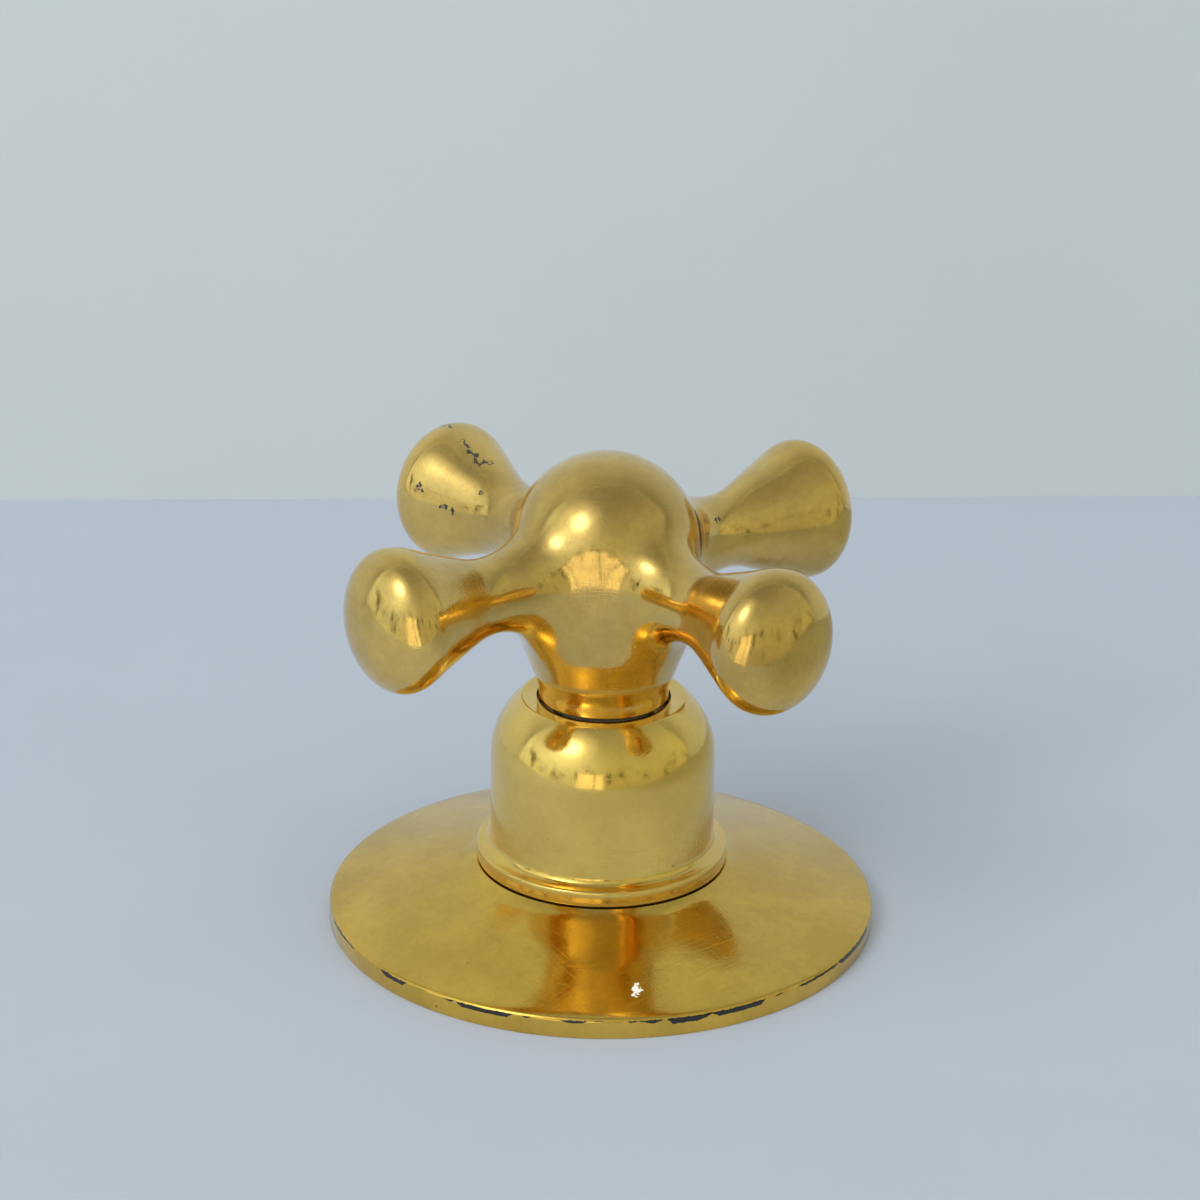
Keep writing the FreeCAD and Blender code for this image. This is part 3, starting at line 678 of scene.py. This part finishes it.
# The foot's face, then the bore for the spindle's bush, up to its flat end
foot_face_r, recess_r, recess_depth, bore_r, bore_depth, foot_round = 8.05, 6.9, 1.0, 5.3, 13.85, 0.06
bm = bmesh.new()
bm.from_mesh(round_mesh)
edges = [e for e in bm.edges if e.is_boundary]
for radius, height in ((foot_face_r, -foot_drop), (recess_r, -foot_drop), (recess_r, recess_depth),
                       (bore_r, recess_depth), (bore_r, bore_depth)):
    edges = grow_ring(bm, edges, radius * mm, (handle_foot + height) * mm)
bmesh.ops.contextual_create(bm, geom=edges)
rim = [e for e in bm.edges if all(
    abs(v.co.z - (handle_foot - foot_drop) * mm) < 0.001 * mm and v.co.xy.length > (foot_face_r + 0.1) * mm
    for v in e.verts)]
bmesh.ops.bevel(bm, geom=rim, offset=foot_round * mm, offset_type="OFFSET", segments=3, profile=0.5,
                affect="EDGES", material=-1)
bmesh.ops.recalc_face_normals(bm, faces=bm.faces)
mesh = bpy.data.meshes.new("cross_handle_form")
bm.to_mesh(mesh)
bm.free()
handle = bpy.data.objects.new("cross_handle_form", mesh)
bpy.context.scene.collection.objects.link(handle)

# The locking screw's hole, on the side away from the photographer
screw_height, screw_hole_r, hole_length, hole_middle_r = handle_foot + 5.5, 2.55, 9.0, 8.5
screw_way = Vector((math.cos(math.radians(45)), math.sin(math.radians(45)), 0))
bm = bmesh.new()
lay = Matrix.Translation(screw_way * hole_middle_r * mm + Vector((0, 0, screw_height * mm)))
lay = lay @ screw_way.to_track_quat("Z", "Y").to_matrix().to_4x4()
bmesh.ops.create_cone(bm, cap_ends=True, segments=48, radius1=screw_hole_r * mm, radius2=screw_hole_r * mm,
                      depth=hole_length * mm, matrix=lay)
mesh = bpy.data.meshes.new("screw_hole")
bm.to_mesh(mesh)
bm.free()
drill = bpy.data.objects.new("screw_hole", mesh)
bpy.context.scene.collection.objects.link(drill)
cut = handle.modifiers.new("screw_hole", "BOOLEAN")
cut.operation, cut.object, cut.solver = "DIFFERENCE", drill, "EXACT"
drilled = bpy.data.meshes.new_from_object(handle.evaluated_get(bpy.context.evaluated_depsgraph_get()))
handle.modifiers.clear()
handle.data = drilled
bpy.data.objects.remove(drill)
handle.data.polygons.foreach_set("use_smooth", [True] * len(handle.data.polygons))
handle.data.set_sharp_from_angle(angle=math.radians(38))

handle_brass, tree, shader, place = brass_finish(
    "handle_brass", (0.90, 0.60, 0.15), (0.66, 0.43, 0.11), 1.0, 0.3, 0.8)
# Black pits on the back knob, with a nick beside it and a pinhole in front, and a row of small dark spots lower down
# on the back arm's left side
dark_spots = [
    (-0.98, 28.6, 56.4, 0.4), (-1.0, 28.1, 56.2, 0.36), (-1.1, 27.5, 56.0, 0.45), (-1.2, 26.8, 55.6, 0.42),
    (-1.1, 26.3, 55.4, 0.38), (-1.0, 25.8, 55.25, 0.48), (-1.4, 25.4, 55.0, 0.42), (-1.7, 25.0, 54.8, 0.45),
    (-1.4, 24.4, 54.55, 0.42), (-0.9, 24.3, 54.65, 0.4), (-0.4, 24.1, 54.7, 0.38), (0.1, 23.8, 54.6, 0.3),
    (-0.77, 32.8, 57.3, 0.45), (-0.75, 32.2, 57.35, 0.38), (-0.73, 31.5, 57.4, 0.38), (-3.5, 21.3, 52.0, 0.38),
    (-7.3, 29.6, 51.3, 0.42), (-7.1, 28.9, 50.9, 0.4), (-6.4, 26.1, 49.4, 0.36), (-6.1, 25.4, 49.35, 0.45),
    (-5.7, 24.4, 49.2, 0.42), (14.8, -3.7, 51.7, 0.42), (15.5, -3.4, 51.8, 0.36), (-5.05, -12.45, 50.6, 0.33),
]
stain_or_glint_over(tree, marks(tree, place, dark_spots), shader, (0.02, 0.016, 0.01))
handle.data.materials.append(handle_brass)
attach(handle, "handle_set")
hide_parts("cross_handle")


# Headwork: machined brass housing, spindle and clip, with ceramic discs and seals.
# It hides under the bell and keeps its CAD solids, each in its own finish.
def plain_finish(name, light, dark, scale, metallic, rough_low, rough_high, bump_depth):
    """A machined or moulded surface with fine grain in colour, roughness and relief."""
    material, tree, shader = new_material(name)
    place = add_node(tree, "ShaderNodeTexCoord").outputs["Object"]
    grain = noise(tree, place, scale, 4.0, 0.6).outputs["Fac"]
    tree.links.new(ramp(tree, grain, [(0.3, light), (0.7, dark)]), shader.inputs["Base Color"])
    shader.inputs["Metallic"].default_value = metallic
    spread = add_node(tree, "ShaderNodeMapRange", [(grain, 0)], To_Min=rough_low, To_Max=rough_high)
    tree.links.new(spread.outputs[0], shader.inputs["Roughness"])
    bump = add_node(tree, "ShaderNodeBump", [(grain, "Height")], Strength=0.3, Distance=bump_depth)
    tree.links.new(bump.outputs[0], shader.inputs["Normal"])
    return material


finishes = {
    "machined_brass": plain_finish(
        "machined_brass_finish", (0.80, 0.60, 0.26), (0.62, 0.44, 0.17), 700.0, 1.0, 0.25, 0.45, 0.00002),
    "black_rubber": plain_finish(
        "black_rubber_finish", (0.035, 0.025, 0.015), (0.018, 0.013, 0.009), 1500.0, 0.0, 0.55, 0.8, 0.00003),
    "valve_ceramic": plain_finish(
        "valve_ceramic_finish", (0.92, 0.91, 0.87), (0.86, 0.85, 0.80), 500.0, 0.0, 0.12, 0.25, 0.00001),
    "stainless_steel": plain_finish(
        "stainless_steel_finish", (0.62, 0.61, 0.60), (0.50, 0.50, 0.50), 900.0, 1.0, 0.25, 0.4, 0.00002),
    "white_acetal": plain_finish(
        "white_acetal_finish", (0.86, 0.86, 0.83), (0.80, 0.80, 0.77), 600.0, 0.0, 0.35, 0.5, 0.00002),
}
for part in frame["record"]["subparts"]:
    node = frame["nodes"][part["node"]]
    finish = finishes.get(part["material_slot"])
    if finish:
        if not node.material_slots:
            node.data.materials.append(finish)
        for slot in node.material_slots:
            slot.material = finish
